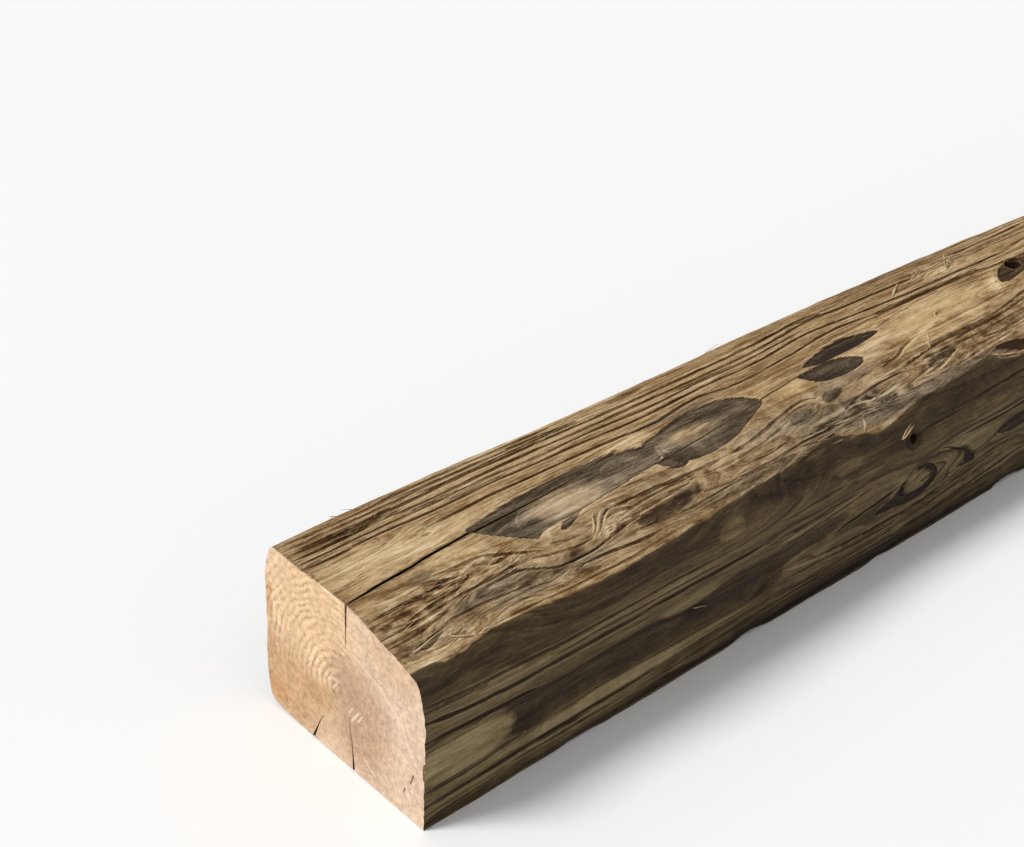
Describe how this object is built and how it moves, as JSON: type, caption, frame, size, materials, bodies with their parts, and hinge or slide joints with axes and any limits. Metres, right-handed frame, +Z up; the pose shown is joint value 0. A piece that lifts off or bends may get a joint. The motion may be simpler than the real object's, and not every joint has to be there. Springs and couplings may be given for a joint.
{
  "type": "reclaimed timber beam",
  "caption": "Reclaimed boxed-heart softwood beam with sawn ends, hewn and weathered long faces, worn arrises and drying checks",
  "frame": {"origin": "centre of the bounding box in plan, at the level of the underside that the beam rests on", "axes": "+X runs along the grain away from the pictured sawn end, +Y runs across from the dark front side to the back side, +Z points up out of the lighter weathered top"},
  "size_m": [2.4, 0.15, 0.12],
  "materials": {
    "weathered_timber": "weathered, unfinished"
  },
  "bodies": {
    "root": {"timber_beam": "weathered_timber"}
  },
  "joints": []
}
